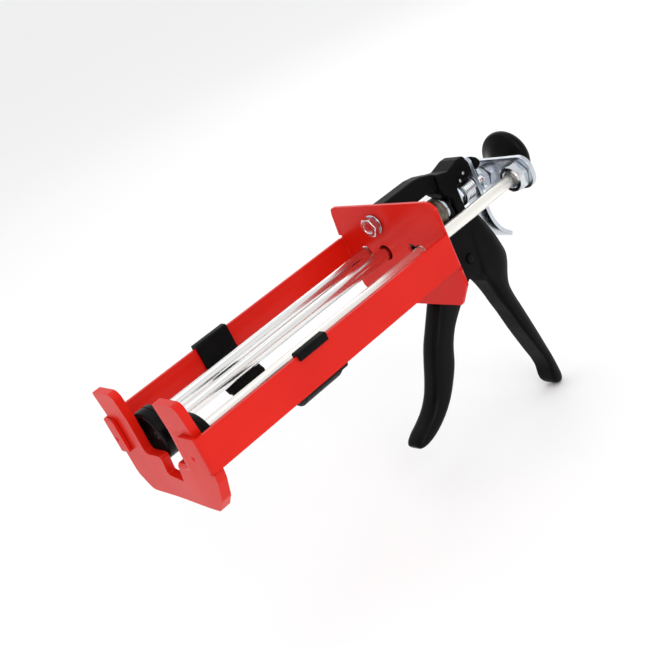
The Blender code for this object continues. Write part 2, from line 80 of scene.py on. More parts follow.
class Nodes:
    """A small helper that strings shader nodes together."""

    def __init__(self, name, rough=0.4, metal=0.0, coat=0.0, coat_rough=0.1, specular=0.5, aniso=0.0):
        self.mat = bpy.data.materials.new(name)
        self.mat.use_nodes = True
        self.tree = self.mat.node_tree
        self.shader = self.tree.nodes["Principled BSDF"]
        self.shader.inputs["Roughness"].default_value = rough
        self.shader.inputs["Metallic"].default_value = metal
        self.shader.inputs["Coat Weight"].default_value = coat
        self.shader.inputs["Coat Roughness"].default_value = coat_rough
        self.shader.inputs["Specular IOR Level"].default_value = specular
        self.shader.inputs["Anisotropic"].default_value = aniso
        self.coords = self.tree.nodes.new("ShaderNodeTexCoord").outputs["Object"]

    def link(self, a, b):
        self.tree.links.new(a, b)

    def scaled(self, scale):
        node = self.tree.nodes.new("ShaderNodeMapping")
        node.inputs["Scale"].default_value = scale
        self.link(self.coords, node.inputs["Vector"])
        return node.outputs["Vector"]

    def noise(self, scale, detail=2.0, rough=0.5, stretch=(1, 1, 1), distortion=0.0):
        node = self.tree.nodes.new("ShaderNodeTexNoise")
        node.inputs["Scale"].default_value = scale
        node.inputs["Detail"].default_value = detail
        node.inputs["Roughness"].default_value = rough
        node.inputs["Distortion"].default_value = distortion
        self.link(self.scaled(stretch), node.inputs["Vector"])
        return node.outputs["Fac"]

    def cells(self, scale, stretch=(1, 1, 1), out="Distance"):
        node = self.tree.nodes.new("ShaderNodeTexVoronoi")
        node.inputs["Scale"].default_value = scale
        self.link(self.scaled(stretch), node.inputs["Vector"])
        return node.outputs[out]

    def ramp(self, value, stops):
        node = self.tree.nodes.new("ShaderNodeValToRGB")
        ramp = node.color_ramp
        while len(ramp.elements) < len(stops):
            ramp.elements.new(0.5)
        for element, (at, colour) in zip(ramp.elements, stops):
            element.position = at
            element.color = (*colour, 1) if len(colour) == 3 else (colour[0],) * 3 + (1,)
        self.link(value, node.inputs["Fac"])
        return node.outputs["Color"]

    def math(self, op, a, b):
        node = self.tree.nodes.new("ShaderNodeMath")
        node.operation = op
        for socket, value in zip(node.inputs, (a, b)):
            if isinstance(value, (int, float)):
                socket.default_value = value
            else:
                self.link(value, socket)
        return node.outputs[0]

    def mix(self, fac, a, b):
        node = self.tree.nodes.new("ShaderNodeMix")
        node.data_type = "RGBA"
        for socket, value in ((node.inputs["Factor"], fac), (node.inputs["A"], a), (node.inputs["B"], b)):
            if isinstance(value, tuple):
                socket.default_value = (*value, 1)
            elif isinstance(value, (int, float)):
                socket.default_value = value
            else:
                self.link(value, socket)
        return node.outputs["Result"]

    def edge(self, low, high):
        """Near 1 on sharp outer edges; the mask for a painted edge highlight."""
        geometry = self.tree.nodes.new("ShaderNodeNewGeometry")
        node = self.tree.nodes.new("ShaderNodeMapRange")
        node.inputs["From Min"].default_value = low
        node.inputs["From Max"].default_value = high
        self.link(geometry.outputs["Pointiness"], node.inputs["Value"])
        return node.outputs["Result"]

    def colour(self, value):
        self.link(value, self.shader.inputs["Base Color"])

    def rough(self, value, low, high):
        node = self.tree.nodes.new("ShaderNodeMapRange")
        node.inputs["To Min"].default_value = low
        node.inputs["To Max"].default_value = high
        self.link(value, node.inputs["Value"])
        self.link(node.outputs["Result"], self.shader.inputs["Roughness"])

    def bump(self, value, strength, distance):
        node = self.tree.nodes.new("ShaderNodeBump")
        node.inputs["Strength"].default_value = strength
        node.inputs["Distance"].default_value = distance
        self.link(value, node.inputs["Height"])
        self.link(node.outputs["Normal"], self.shader.inputs["Normal"])


def red_coat():
    """Gloss powder coat with a faint orange peel."""
    m = Nodes("red_powder_coat", 0.34, 0.0, 0.06, 0.12, 0.14)
    broad = m.noise(14, 3, 0.55)
    base = m.ramp(broad, [(0.3, (0.60, 0.008, 0.003)), (0.7, (0.67, 0.013, 0.005))])
    speck = m.noise(2200, 1, 0.5)
    base = m.mix(m.math("MULTIPLY", m.ramp(speck, [(0.62, (0,)), (0.75, (1,))]), 0.25), base, (0.54, 0.008, 0.004))
    m.colour(base)
    m.rough(m.noise(160, 3, 0.6), 0.24, 0.40)
    m.bump(m.noise(900, 2, 0.5), 0.12, 0.0003)
    return m.mat


def black_casting():
    """Fine-textured black paint over a casting."""
    m = Nodes("black_casting_paint", 0.42, 0.0, 0.0, 0.1, 0.06)
    base = m.ramp(m.noise(40, 4, 0.6), [(0.3, (0.0010, 0.0008, 0.0010)), (0.7, (0.0024, 0.0018, 0.0022))])
    # lighter black on sharp outer edges: a painted highlight
    base = m.mix(m.math("MULTIPLY", m.edge(0.52, 0.58), 0.30), base, (0.018, 0.016, 0.017))
    m.colour(base)
    m.rough(m.noise(220, 4, 0.6), 0.34, 0.56)
    grain = m.math("ADD", m.noise(1500, 3, 0.6), m.math("MULTIPLY", m.noise(260, 2, 0.5), 0.8))
    m.bump(grain, 0.28, 0.0004)
    return m.mat


def black_trigger():
    m = Nodes("black_trigger_paint", 0.34, 0.0, 0.02, 0.2, 0.08)
    base = m.ramp(m.noise(30, 3, 0.5), [(0.3, (0.0011, 0.0009, 0.0010)), (0.7, (0.0025, 0.0020, 0.0021))])
    # lighter black on sharp outer edges: a painted highlight
    base = m.mix(m.math("MULTIPLY", m.edge(0.53, 0.60), 0.3), base, (0.018, 0.016, 0.016))
    m.colour(base)
    m.rough(m.noise(120, 3, 0.6), 0.27, 0.42)
    m.bump(m.noise(1300, 2, 0.5), 0.12, 0.0003)
    return m.mat


def black_moulding(name, rough_low, rough_high, grain, strength):
    m = Nodes(name, rough_low, 0.0, 0.0, 0.1, 0.08)
    base = m.ramp(m.noise(50, 3, 0.6), [(0.3, (0.0014, 0.0012, 0.0014)), (0.7, (0.0032, 0.0028, 0.0032))])
    m.colour(base)
    m.rough(m.noise(200, 3, 0.6), rough_low, rough_high)
    m.bump(m.noise(grain, 2, 0.5), strength, 0.0003)
    return m.mat


def drawn_steel(name, tint, rough_low, rough_high):
    """Bright drawn bar, with faint lines along its length."""
    m = Nodes(name, 0.2, 1.0, 0.0, 0.1, 0.5, 0.35)
    lines = m.noise(1, 3, 0.6, (6, 900, 900))
    dark = tuple(c * 0.86 for c in tint)
    base = m.mix(m.ramp(lines, [(0.35, (0,)), (0.7, (1,))]), tint, dark)
    smear = m.noise(1, 2, 0.5, (60, 25, 25))
    base = m.mix(m.math("MULTIPLY", smear, 0.2), base, tuple(c * 0.92 for c in tint))
    m.colour(base)
    m.rough(lines, rough_low, rough_high)
    m.bump(lines, 0.05, 0.0002)
    return m.mat


def satin_rod():
    """Pale satin plate, almost white, with faint lines along its length."""
    m = Nodes("satin_steel", 0.26, 0.88, 0.0, 0.1, 0.5, 0.3)
    lines = m.noise(1, 3, 0.6, (6, 900, 900))
    base = m.mix(m.ramp(lines, [(0.35, (0,)), (0.7, (1,))]), (0.96, 0.94, 0.89), (0.88, 0.86, 0.80))
    smear = m.noise(1, 2, 0.5, (60, 25, 25))
    base = m.mix(m.math("MULTIPLY", smear, 0.25), base, (0.84, 0.82, 0.77))
    m.colour(base)
    m.rough(lines, 0.18, 0.32)
    m.bump(lines, 0.05, 0.0002)
    return m.mat


def zinc_plate(name="zinc_plate", tint=(0.60, 0.645, 0.70), low=0.14, high=0.34):
    """Bright zinc, a little cloudy, with a faint blue cast."""
    m = Nodes(name, 0.22, 1.0, 0.0, 0.1, 0.5)
    cloud = m.noise(90, 4, 0.6)
    spangle = m.cells(700, out="Color")
    grey = tuple(c * 0.80 for c in tint)
    base = m.mix(m.ramp(cloud, [(0.35, (0,)), (0.7, (1,))]), tint, grey)
    base = m.mix(0.08, base, spangle)
    m.colour(base)
    m.rough(m.noise(260, 4, 0.6), low, high)
    m.bump(m.noise(1800, 2, 0.6), 0.10, 0.0002)
    return m.mat


def sleeve_finish():
    """Dark olive-brown oiled steel with turning marks."""
    m = Nodes("brown_sleeve", 0.36, 0.55, 0.1, 0.2, 0.5)
    rings = m.noise(1, 2, 0.5, (2600, 12, 12))
    base = m.ramp(m.noise(120, 4, 0.6), [(0.3, (0.085, 0.070, 0.050)), (0.7, (0.150, 0.128, 0.092))])
    base = m.mix(m.math("MULTIPLY", rings, 0.3), base, (0.05, 0.042, 0.03))
    m.colour(base)
    m.rough(rings, 0.28, 0.48)
    m.bump(rings, 0.2, 0.0003)
    return m.mat


RED = red_coat()
CAST = black_casting()
TRIGGER = black_trigger()
CLIP = black_moulding("black_clip_plastic", 0.40, 0.58, 1400, 0.22)
DISC = black_moulding("black_disc_plastic", 0.26, 0.40, 900, 0.10)
KNOB = black_moulding("black_knob_plastic", 0.26, 0.38, 600, 0.06)
ROD = drawn_steel("drawn_steel", (0.90, 0.90, 0.885), 0.13, 0.26)
ROD_SATIN = satin_rod()
ZINC = zinc_plate()
ZINC_NUT = zinc_plate("zinc_nut", (0.74, 0.78, 0.82), 0.10, 0.26)
SPRING = zinc_plate("spring_wire", (0.72, 0.74, 0.77), 0.12, 0.24)
SLEEVE = sleeve_finish()

# ================================================================ mesh helpers


def to_object(bm, name, merge=1e-7):
    bmesh.ops.remove_doubles(bm, verts=bm.verts, dist=merge)
    bmesh.ops.recalc_face_normals(bm, faces=bm.faces)
    mesh = bpy.data.meshes.new(name)
    bm.to_mesh(mesh)
    bm.free()
    obj = bpy.data.objects.new(name, mesh)
    bpy.context.scene.collection.objects.link(obj)
    return obj


def settle(obj):
    """The modifiers applied for good."""
    bpy.context.view_layer.update()
    graph = bpy.context.evaluated_depsgraph_get()
    mesh = bpy.data.meshes.new_from_object(obj.evaluated_get(graph))
    old = obj.data
    obj.modifiers.clear()
    obj.data = mesh
    bpy.data.meshes.remove(old)
    return obj


def drop(obj):
    mesh = obj.data
    bpy.data.objects.remove(obj, do_unlink=True)
    bpy.data.meshes.remove(mesh)


def combine(obj, others, op):
    for other in others:
        mod = obj.modifiers.new("bool", "BOOLEAN")
        mod.object = other
        mod.operation = op
        mod.solver = "EXACT"
    settle(obj)
    for other in others:
        drop(other)
    return obj


def union(obj, *others):
    return combine(obj, others, "UNION")


def cut(obj, *others):
    return combine(obj, others, "DIFFERENCE")


def common(obj, *others):
    return combine(obj, others, "INTERSECT")


def bevel(obj, width, segments=2, angle=35, profile=0.5):
    mod = obj.modifiers.new("bevel", "BEVEL")
    mod.width = width * 0.001
    mod.segments = segments
    mod.limit_method = "ANGLE"
    mod.angle_limit = math.radians(angle)
    mod.profile = profile
    mod.harden_normals = False
    return settle(obj)


def soften(obj, voxel, rounds, factor=0.5):
    """Runs corners together as a casting's do: an even mesh, then smoothing."""
    mod = obj.modifiers.new("remesh", "REMESH")
    mod.mode = "VOXEL"
    mod.voxel_size = voxel * 0.001
    mod.use_smooth_shade = True
    mod = obj.modifiers.new("smooth", "SMOOTH")
    mod.iterations = rounds
    mod.factor = factor
    return settle(obj)


def finish(obj, material, body, slot, *nodes, smooth=35):
    obj.data.materials.clear()
    obj.data.materials.append(material)
    obj.data.shade_smooth()
    if smooth < 180:
        obj.data.set_sharp_from_angle(angle=math.radians(smooth))
    if nodes:
        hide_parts(*nodes)
    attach(obj, body)
    return obj


def even_normals(obj):
    """Flat faces stay flat in the light beside their rounded edges."""
    mod = obj.modifiers.new("normals", "WEIGHTED_NORMAL")
    mod.mode = "FACE_AREA"
    mod.weight = 80
    mod.keep_sharp = True
    return obj


def loft(rings, closed_ends=True):
    bm = bmesh.new()
    made = [[bm.verts.new(place(p)) for p in ring] for ring in rings]
    n = len(made[0])
    for a, b in zip(made, made[1:]):
        for k in range(n):
            m = (k + 1) % n
            bm.faces.new((a[k], b[k], b[m], a[m]))
    if closed_ends:
        bm.faces.new(made[0])
        bm.faces.new(list(reversed(made[-1])))
    return bm


def prism_v(pts, v0, v1, name="piece"):
    return to_object(loft([[(u, v0, w) for u, w in pts], [(u, v1, w) for u, w in pts]]), name)


def prism_u(pts, u0, u1, name="piece"):
    return to_object(loft([[(u0, v, w) for v, w in pts], [(u1, v, w) for v, w in pts]]), name)


def prism_w(pts, w0, w1, name="piece"):
    return to_object(loft([[(u, v, w0) for u, v in pts], [(u, v, w1) for u, v in pts]]), name)


def turned(profile, v, w, seg=64, name="piece"):
    """A solid of revolution about a line along u through (v, w), from (u, r) points."""
    bm = bmesh.new()
    rings = []
    for u, r in profile:
        if r == 0:
            rings.append([bm.verts.new(place((u, v, w)))])
        else:
            rings.append(
                [
                    bm.verts.new(place((u, v + r * math.cos(2 * math.pi * k / seg), w + r * math.sin(2 * math.pi * k / seg))))
                    for k in range(seg)
                ]
            )
    closed = profile[0] == profile[-1]
    if closed:
        rings[-1] = rings[0]
    for a, b in zip(rings, rings[1:]):
        for k in range(seg):
            m = (k + 1) % seg
            if len(a) == 1:
                bm.faces.new((a[0], b[k], b[m]))
            elif len(b) == 1:
                bm.faces.new((a[k], b[0], a[m]))
            else:
                bm.faces.new((a[k], b[k], b[m], a[m]))
    if not closed:
        for end in (rings[0], rings[-1]):
            if len(end) > 1:
                bm.faces.new(end)
    return to_object(bm, name)


def round_corner(a, b, r, steps, start, end):
    return [
        (a + r * math.cos(math.radians(start + (end - start) * k / steps)), b + r * math.sin(math.radians(start + (end - start) * k / steps)))
        for k in range(steps + 1)
    ]


def bar(u0, u1, r, v, w, seg=64, edge=0.6, name="piece"):
    """A round bar with softly rounded ends."""
    start = [(u0 + edge - edge * math.sin(t), r - edge + edge * math.cos(t)) for t in [math.pi / 2 * (1 - k / 4) for k in range(5)]]
    end = [(u1 - edge + edge * math.sin(t), r - edge + edge * math.cos(t)) for t in [math.pi / 2 * k / 4 for k in range(5)]]
    return turned([(u0, 0)] + start + end + [(u1, 0)], v, w, seg, name)


def ring(u0, u1, r_in, r_out, v, w, seg=64, c=0.25, name="piece"):
    return turned(
        [
            (u0 + c, r_in),
            (u0 + 0.3 * c, r_in + 0.3 * c),
            (u0, r_in + c),
            (u0, r_out - c),
            (u0 + 0.3 * c, r_out - 0.3 * c),
            (u0 + c, r_out),
            (u1 - c, r_out),
            (u1 - 0.3 * c, r_out - 0.3 * c),
            (u1, r_out - c),
            (u1, r_in + c),
            (u1 - 0.3 * c, r_in + 0.3 * c),
            (u1 - c, r_in),
            (u0 + c, r_in),
        ],
        v,
        w,
        seg,
        name,
    )


def hexagon(across_flats, v, w, turn=0.0):
    r = across_flats / math.sqrt(3)
    return [(v + r * math.cos(math.radians(turn + 60 * k)), w + r * math.sin(math.radians(turn + 60 * k))) for k in range(6)]


def hex_nut(u0, u1, across_flats, r_in, v, w, turn=0.0, name="piece", both=True, rough_bore=True):
    """A nut with 30 degree chamfers and a countersunk bore."""
    obj = prism_u(hexagon(across_flats, v, w, turn), u0, u1, name)
    flat, corner = across_flats / 2, across_flats / math.sqrt(3)
    fall = (corner - flat * 0.96) * math.tan(math.radians(30))
    low = [(u0, 0), (u0, flat * 0.96), (u0 + fall, corner)] if both else [(u0, 0), (u0, corner)]
    blank = turned(low + [(u1 - fall, corner + 0.01), (u1, flat * 0.96), (u1, 0)], v, w, 72)
    common(obj, blank)
    bevel(obj, 0.12, 1, 30)
    if r_in:
        c = 0.7
        bore = turned(
            [(u0 - 1, 0), (u0 - 1, r_in + c + 1), (u0 + c, r_in), (u1 - c, r_in), (u1 + 1, r_in + c + 1), (u1 + 1, 0)], v, w, 48
        )
        cut(obj, bore)
    return obj


def coil(u0, u1, mean_r, wire_r, turns, v, w, name, per_turn=40, sides=14, closed=0.9):
    """A compression spring along u whose end turns lie closed."""
    bm = bmesh.new()
    n = int(turns * per_turn)
    span = u1 - u0 - 2 * wire_r
    weights = []
    for i in range(n):
        at = (i + 0.5) / per_turn
        near = min(at, turns - at)
        weights.append(0.35 if near < closed * 0.6 else (0.35 + 0.65 * min(1, (near - closed * 0.6) / 0.5)))
    total = sum(weights)
    floor = 2 * wire_r / per_turn
    steps = [floor * 1.02 + (span - floor * 1.02 * n) * (max(0, k - 0.35)) / max(1e-9, sum(max(0, q - 0.35) for q in weights)) for k in weights]
    rings, x = [], u0 + wire_r
    for i in range(n + 1):
        t = 2 * math.pi * i / per_turn
        centre = Vector((x, v + mean_r * math.cos(t), w + mean_r * math.sin(t)))
        radial = Vector((0, math.cos(t), math.sin(t)))
        along = Vector((1, 0, 0))
        rings.append(
            [
                tuple(centre + wire_r * (math.cos(2 * math.pi * k / sides) * radial + math.sin(2 * math.pi * k / sides) * along))
                for k in range(sides)
            ]
        )
        if i < n:
            x += steps[i]
    return to_object(loft(rings), name)


def spline(pts, per=6, closed=False):
    """A smooth line through the points."""
    out = []
    n = len(pts)
    for i in range(n if closed else n - 1):
        p0 = Vector(pts[(i - 1) % n] if closed or i > 0 else pts[0])
        p1 = Vector(pts[i])
        p2 = Vector(pts[(i + 1) % n])
        p3 = Vector(pts[(i + 2) % n] if closed or i + 2 < n else pts[-1])
        for k in range(per):
            t = k / per
            out.append(
                tuple(
                    0.5
                    * (2 * p1 + (p2 - p0) * t + (2 * p0 - 5 * p1 + 4 * p2 - p3) * t * t + (3 * p1 - p0 - 3 * p2 + p3) * t * t * t)
                )
            )
    if not closed:
        out.append(tuple(pts[-1]))
    return out


def rounded(pts, radii, steps=6):
    out = []
    n = len(pts)
    for i in range(n):
        p, r = Vector(pts[i]), radii[i]
        if r <= 0:
            out.append(tuple(p))
            continue
        a = (Vector(pts[i - 1]) - p).normalized()
        b = (Vector(pts[(i + 1) % n]) - p).normalized()
        half = math.acos(max(-1, min(1, a.dot(b)))) / 2
        reach = r / math.tan(half)
        centre = p + (a + b).normalized() * (r / math.sin(half))
        start, end = p + a * reach, p + b * reach
        s, e = start - centre, end - centre
        turn = math.atan2(s.x * e.y - s.y * e.x, s.dot(e))
        for k in range(steps + 1):
            c, q = math.cos(turn * k / steps), math.sin(turn * k / steps)
            out.append((centre.x + s.x * c - s.y * q, centre.y + s.x * q + s.y * c))
    return out


def box(u0, u1, v0, v1, w0, w1, name="piece"):
    return prism_u([(v0, w0), (v1, w0), (v1, w1), (v0, w1)], u0, u1, name)


def pin_v(v0, v1, r, u, w, seg=40, edge=0.4, name="piece"):
    rings = []
    for v, q in [(v0, r - edge), (v0 + 0.3 * edge, r - 0.3 * edge), (v0 + edge, r), (v1 - edge, r), (v1 - 0.3 * edge, r - 0.3 * edge), (v1, r - edge)]:
        rings.append([(u + q * math.cos(2 * math.pi * k / seg), v, w + q * math.sin(2 * math.pi * k / seg)) for k in range(seg)])
    return to_object(loft(rings), name)


# ================================================================ carrier: one folded sheet
# The flat blank is drawn in s, along the sheet from flange to flange, and w. It is then folded at four bends.

BEND = 1.5  # radius of the sheet's middle at the rear bends
NOSE_BEND = 2.2
H = SHEET / 2


def fold_path():
    """Straight runs and bends of the sheet's middle line in u and v, from the right flange to the left one."""
    u_nose, u_rear = LENGTH - H, -H
    v_right, v_left = H, WIDTH - H
    return [(u_nose, 12.0), (u_nose, v_right), (u_rear, v_right), (u_rear, v_left), (u_nose, v_left), (u_nose, WIDTH - 18.0)], [
        0,
        NOSE_BEND,
        BEND,
        BEND,
        NOSE_BEND,
        0,
    ]


def path_samples():
    pts, radii = fold_path()
    parts, s = [], 0.0
    here = Vector(pts[0])
    for i in range(1, len(pts)):
        p = Vector(pts[i])
        d0 = (p - Vector(pts[i - 1])).normalized()
        if i == len(pts) - 1:
            length = (p - here).length
            parts.append(("line", s, s + length, here.copy(), d0.copy()))
            s += length
            break
        d1 = (Vector(pts[i + 1]) - p).normalized()
        r = radii[i]
        stop = p - d0 * r
        length = (stop - here).length
        parts.append(("line", s, s + length, here.copy(), d0.copy()))
        s += length
        side = d0.x * d1.y - d0.y * d1.x
        normal = Vector((-d0.y, d0.x)) * (1 if side > 0 else -1)
        centre = stop + normal * r
        parts.append(("arc", s, s + r * math.pi / 2, centre.copy(), (stop - centre).copy(), 1 if side > 0 else -1, r))
        s += r * math.pi / 2
        here = p + d1 * r
    return parts, s


PARTS, TOTAL_S = path_samples()


def folded(s, n):
    """The place in u and v of a point s along the sheet and n to the side of its middle."""
    for part in PARTS:
        if s <= part[2] + 1e-6 or part is PARTS[-1]:
            if part[0] == "line":
                _, s0, _, start, d = part
                normal = Vector((-d.y, d.x))
                p = start + d * (s - s0) + normal * n
                return p.x, p.y
            _, s0, _, centre, arm, sign, r = part
            angle = (s - s0) / r * sign
            c, q = math.cos(angle), math.sin(angle)
            turned_arm = Vector((arm.x * c - arm.y * q, arm.x * q + arm.y * c))
            out = turned_arm.normalized()
            # n is measured to the left of the direction of travel: towards the centre on a left turn
            p = centre + out * (r - n * sign)
            return p.x, p.y


s_marks = [part[1] for part in PARTS] + [TOTAL_S]
# s values of the features
S_RAIL_R0, S_RAIL_R1 = s_marks[2], s_marks[3]  # the right rail's straight run
S_REAR0, S_REAR1 = s_marks[4], s_marks[5]  # the rear plate's straight run
S_RAIL_L0, S_RAIL_L1 = s_marks[6], s_marks[7]


def s_of_v(v):
    """On the rear plate."""
    return S_REAR0 + (v - (H + BEND))


# the blank's outline, anticlockwise in (s, w)
plate_r = S_REAR0 - BEND * math.pi / 4
plate_l = S_REAR1 + BEND * math.pi / 4
blank = [
    (0.0, 0.0),
    (plate_r - 1.2, 0.0),
    (plate_r - 1.2, -2.7),
    (plate_r + 0.4, -13.3),
    (s_of_v(12.0), -27.0),
    (s_of_v(84.0), -27.0),
    (plate_l - 0.4, -13.3),
    (plate_l + 1.2, -2.7),
    (plate_l + 1.2, 0.0),
    (TOTAL_S, 0.0),
    (TOTAL_S, RAIL_H),
    (plate_l + 1.2, RAIL_H),
    (plate_l + 0.2, 42.0),
    (plate_r - 0.2, 42.0),
    (plate_r - 1.2, RAIL_H),
    (0.0, RAIL_H),
]
blank_radii = [1.5, 0.6, 1.0, 2.5, 3.0, 3.0, 2.5, 1.0, 0.6, 1.5, 1.5, 0.8, 9.0, 5.0, 0.8, 1.5]
outline = rounded(blank, blank_radii, 6)


def flat(points, n0, n1, name="piece"):
    """A flat solid in (s, n, w), kept in the drawing frame as u=s, v=n, w=w."""
    return prism_v([(s, w) for s, w in points], n0, n1, name)


def circle(s, w, r, seg=48):
    return [(s + r * math.cos(2 * math.pi * k / seg), w + r * math.sin(2 * math.pi * k / seg)) for k in range(seg)]


sheet = flat(outline, -H, H, "carrier")
holes = []
for v, w, r in ((V_RIGHT, AXIS_W, 4.8), (V_DRIVE, AXIS_W, 5.2), (V_LEFT, AXIS_W, 4.9), (BOLT_V, BOLT_W, 3.3)):
    holes.append(flat(circle(s_of_v(v), w, r), -3, 3))
holes.append(flat(circle(s_of_v(V_LEFT - 6.5), AXIS_W + 2.5, 3.4), -3, 3))
# the notches that relieve the bends above and below the rails
for s in (plate_r - 1.2, plate_l + 1.2):
    holes.append(flat(circle(s, -1.3, 1.35, 24), -3, 3))
    holes.append(flat(circle(s, RAIL_H + 0.7, 1.1, 24), -3, 3))
cut(sheet, *holes)
bevel(sheet, 0.38, 3, 50)
# spot-weld dimples on the flanges' front faces; the front is at n = -H on both flanges
bm = bmesh.new()
bm.from_mesh(sheet.data)
for part in PARTS:
    if part[0] == "arc":
        for k in range(0, 9):
            s = part[1] + (part[2] - part[1]) * k / 8
            bmesh.ops.bisect_plane(
                bm, geom=bm.verts[:] + bm.edges[:] + bm.faces[:], plane_co=place((s, 0, 0)), plane_no=(1, 0, 0), dist=1e-7
            )


def dimple(bm, s, w, r, depth, side):
    """A pressed dimple: the face there is replaced by rings that sink."""
    # cut a square grid into the flat face, then sink the vertices by a smooth bump
    n = 9
    for k in range(-n, n + 1):
        bmesh.ops.bisect_plane(bm, geom=bm.verts[:] + bm.edges[:] + bm.faces[:], plane_co=place((s + r * 1.1 * k / n, 0, 0)), plane_no=(1, 0, 0), dist=1e-7)
    near = [f for f in bm.faces if abs((f.calc_center_median() - place((s, 0, 0))).x) < r * 0.0012]
    geom = set(near)
    for f in near:
        geom.update(f.edges)
        geom.update(f.verts)
    for k in range(-n, n + 1):
        geom = [g for g in geom if g.is_valid]
        made = bmesh.ops.bisect_plane(bm, geom=geom, plane_co=place((0, 0, w + r * 1.1 * k / n)), plane_no=(0, 0, 1), dist=1e-7)
        geom = set(geom) | set(made["geom"]) | set(made["geom_cut"])
    level = place((0, side * H, 0)).y
    centre = place((s, 0, w))
    for vert in bm.verts:
        if abs(vert.co.y - level) < 2e-5:
            d = math.hypot(vert.co.x - centre.x, vert.co.z - centre.z) * 1000 / r
            if d < 1:
                vert.co.y -= side * depth * 0.001 * (0.5 + 0.5 * math.cos(math.pi * d)) ** 0.8


FRONT = None
for s, w in ((6.6, 8.6), (TOTAL_S - 6.0, 8.2)):
    dimple(bm, s, w, 2.1, 0.7, 1 if folded(s, H)[0] > folded(s, -H)[0] else -1)
for vert in bm.verts:
    s = vert.co.x * 1000 + ORIGIN[0]
    n = vert.co.y * 1000 + ORIGIN[1]
    w = vert.co.z * 1000 + ORIGIN[2]
    u, v = folded(s, n)
    vert.co = place((u, v, w))
bmesh.ops.recalc_face_normals(bm, faces=bm.faces)
bm.to_mesh(sheet.data)
bm.free()
sheet.name = "carrier"
even_normals(finish(sheet, RED, "gun_body", "red_coat", "carrier_frame", smooth=50))

# ================================================================ nose plate

U_NOSE1 = LENGTH - SHEET - 0.3
U_NOSE0 = U_NOSE1 - 5.0
nose_outline = rounded(
    [
        (5.0, 39.4),
        (26.5, 39.4),
        (25.5, 0.0),
        (41.6, 0.3),
        (39.0, -11.5),
        (54.5, -13.2),
        (59.0, 0.0),
        (67.5, 0.0),
        (69.0, 39.4),
        (90.5, 39.4),
        (91.0, -0.7),
        (94.0, -0.7),
        (92.4, -7.0),
        (86.4, -19.5),
        (79.0, -27.5),
        (9.0, -27.5),
        (1.2, -17.0),
        (1.2, -0.7),
        (4.5, -0.7),
    ],
    [2, 4.5, 3, 2, 1.5, 1.5, 1, 1, 2.5, 4.5, 0.2, 1.2, 4, 4, 4, 7, 9, 1.5, 0.2],
    8,
)
nose = prism_u(nose_outline, U_NOSE0, U_NOSE1, "nose")
bm = bmesh.new()
bm.from_mesh(nose.data)
for axis, values in ((1, [30 + 3 * k for k in range(21)]), (2, [-24, -20, -16, -12, -8, -5, -3, -1.6, 21.5, 24.5, 27.5, 30.5, 33.5, 36.5])):
    for value in values:
        at = [0.0, 0.0, 0.0]
        at[axis] = value
        normal = [0.0, 0.0, 0.0]
        normal[axis] = 1.0
        bmesh.ops.bisect_plane(bm, geom=bm.verts[:] + bm.edges[:] + bm.faces[:], plane_co=place(at), plane_no=normal, dist=1e-7)
front = place((U_NOSE1, 0, 0)).x


def ease(x):
    x = max(0.0, min(1.0, x))
    return x * x * (3 - 2 * x)


for vert in bm.verts:
    if abs(vert.co.x - front) < 1e-6:
        v = vert.co.y * 1000 + ORIGIN[1]
        w = vert.co.z * 1000 + ORIGIN[2]
        vert.co.x += 0.0012 * ease((v - 30.0) / 44.0) * ease((-0.9 - w) / 0.6)
for vert in bm.verts:
    w = vert.co.z * 1000 + ORIGIN[2]
    vert.co.x += 0.0012 * max(0.0, (w - 21.5) / 18.0)
bm.to_mesh(nose.data)
bm.free()
bevel(nose, 1.1, 4, 50)
even_normals(finish(nose, RED, "gun_body", "red_coat", "nose_plate", smooth=50))

# ================================================================ clips


def clip(name, node, mirror):
    def m(pts):
        return [(WIDTH - v, w) if mirror else (v, w) for v, w in pts]

    r0, r1 = 22.2, 24.2
    inner = [(V_DISC_RIGHT + r0 * math.cos(math.radians(a)), AXIS_W + r0 * math.sin(math.radians(a))) for a in range(221, 303, 3)]
    outer = [(V_DISC_RIGHT + r1 * math.cos(math.radians(a)), AXIS_W + r1 * math.sin(math.radians(a))) for a in range(300, 217, -3)]
    lip = [(-1.9, 18.6), (-0.35, 18.6), (-0.35, 21.35), (2.35, 21.35), (2.35, -1.6)]
    lip += [(3.4, -3.4)] + list(reversed(outer)) + list(reversed(inner))
    lip += [(6.4, -1.0), (4.6, 1.2), (4.2, 3.4), (4.2, 21.6), (3.9, 22.6), (3.2, 23.2), (-0.9, 23.2), (-1.6, 22.9), (-1.9, 22.2)]
    rear, front = (96.5, 124.5) if mirror else (100.5, 127.5)
    obj = prism_u(m(lip), rear, front, name)
    notch = m([(-4, 6), (8, 6), (8, 26), (-4, 26)])
    cut(obj, prism_u(notch, 90.0, 103.5))
    # small steps along the cradle's outer side
    for k, u in enumerate((front - 5.0, front - 13.0, front - 21.0)):
        cut(obj, prism_u(m([(3.6, -12.0), (8.6, -12.0), (6.2, -4.4), (3.0, -2.4)]), u - 1.6, u + 1.6))
    # the cradle tapers in plan, and its rear edge is hollowed
    corners = [
        [(front + 1, 46.0), (front - 4.5, 46.0), (front - 3.4, 33.0), (front - 1.6, 22.0), (front - 0.6, 14.0), (front + 1, 12.0)],
        rounded([(rear - 1, 46.0), (rear + 5.5, 46.0), (rear + 3.6, 33.0), (rear + 6.0, 25.0), (rear + 3.2, 18.0), (rear - 1, 15.0)], [0, 0, 3, 4, 3, 0], 6),
    ]
    for corner in corners:
        if mirror:
            corner = [(a, WIDTH - b) for a, b in corner]
        cut(obj, prism_w(corner, -30, -6))
    bevel(obj, 0.45, 3, 40)
    return finish(obj, CLIP, "gun_body", "black_plastic", node, smooth=50)


clip("clip_r", "clip_right", False)
clip("clip_l", "clip_left", True)

# ================================================================ body casting

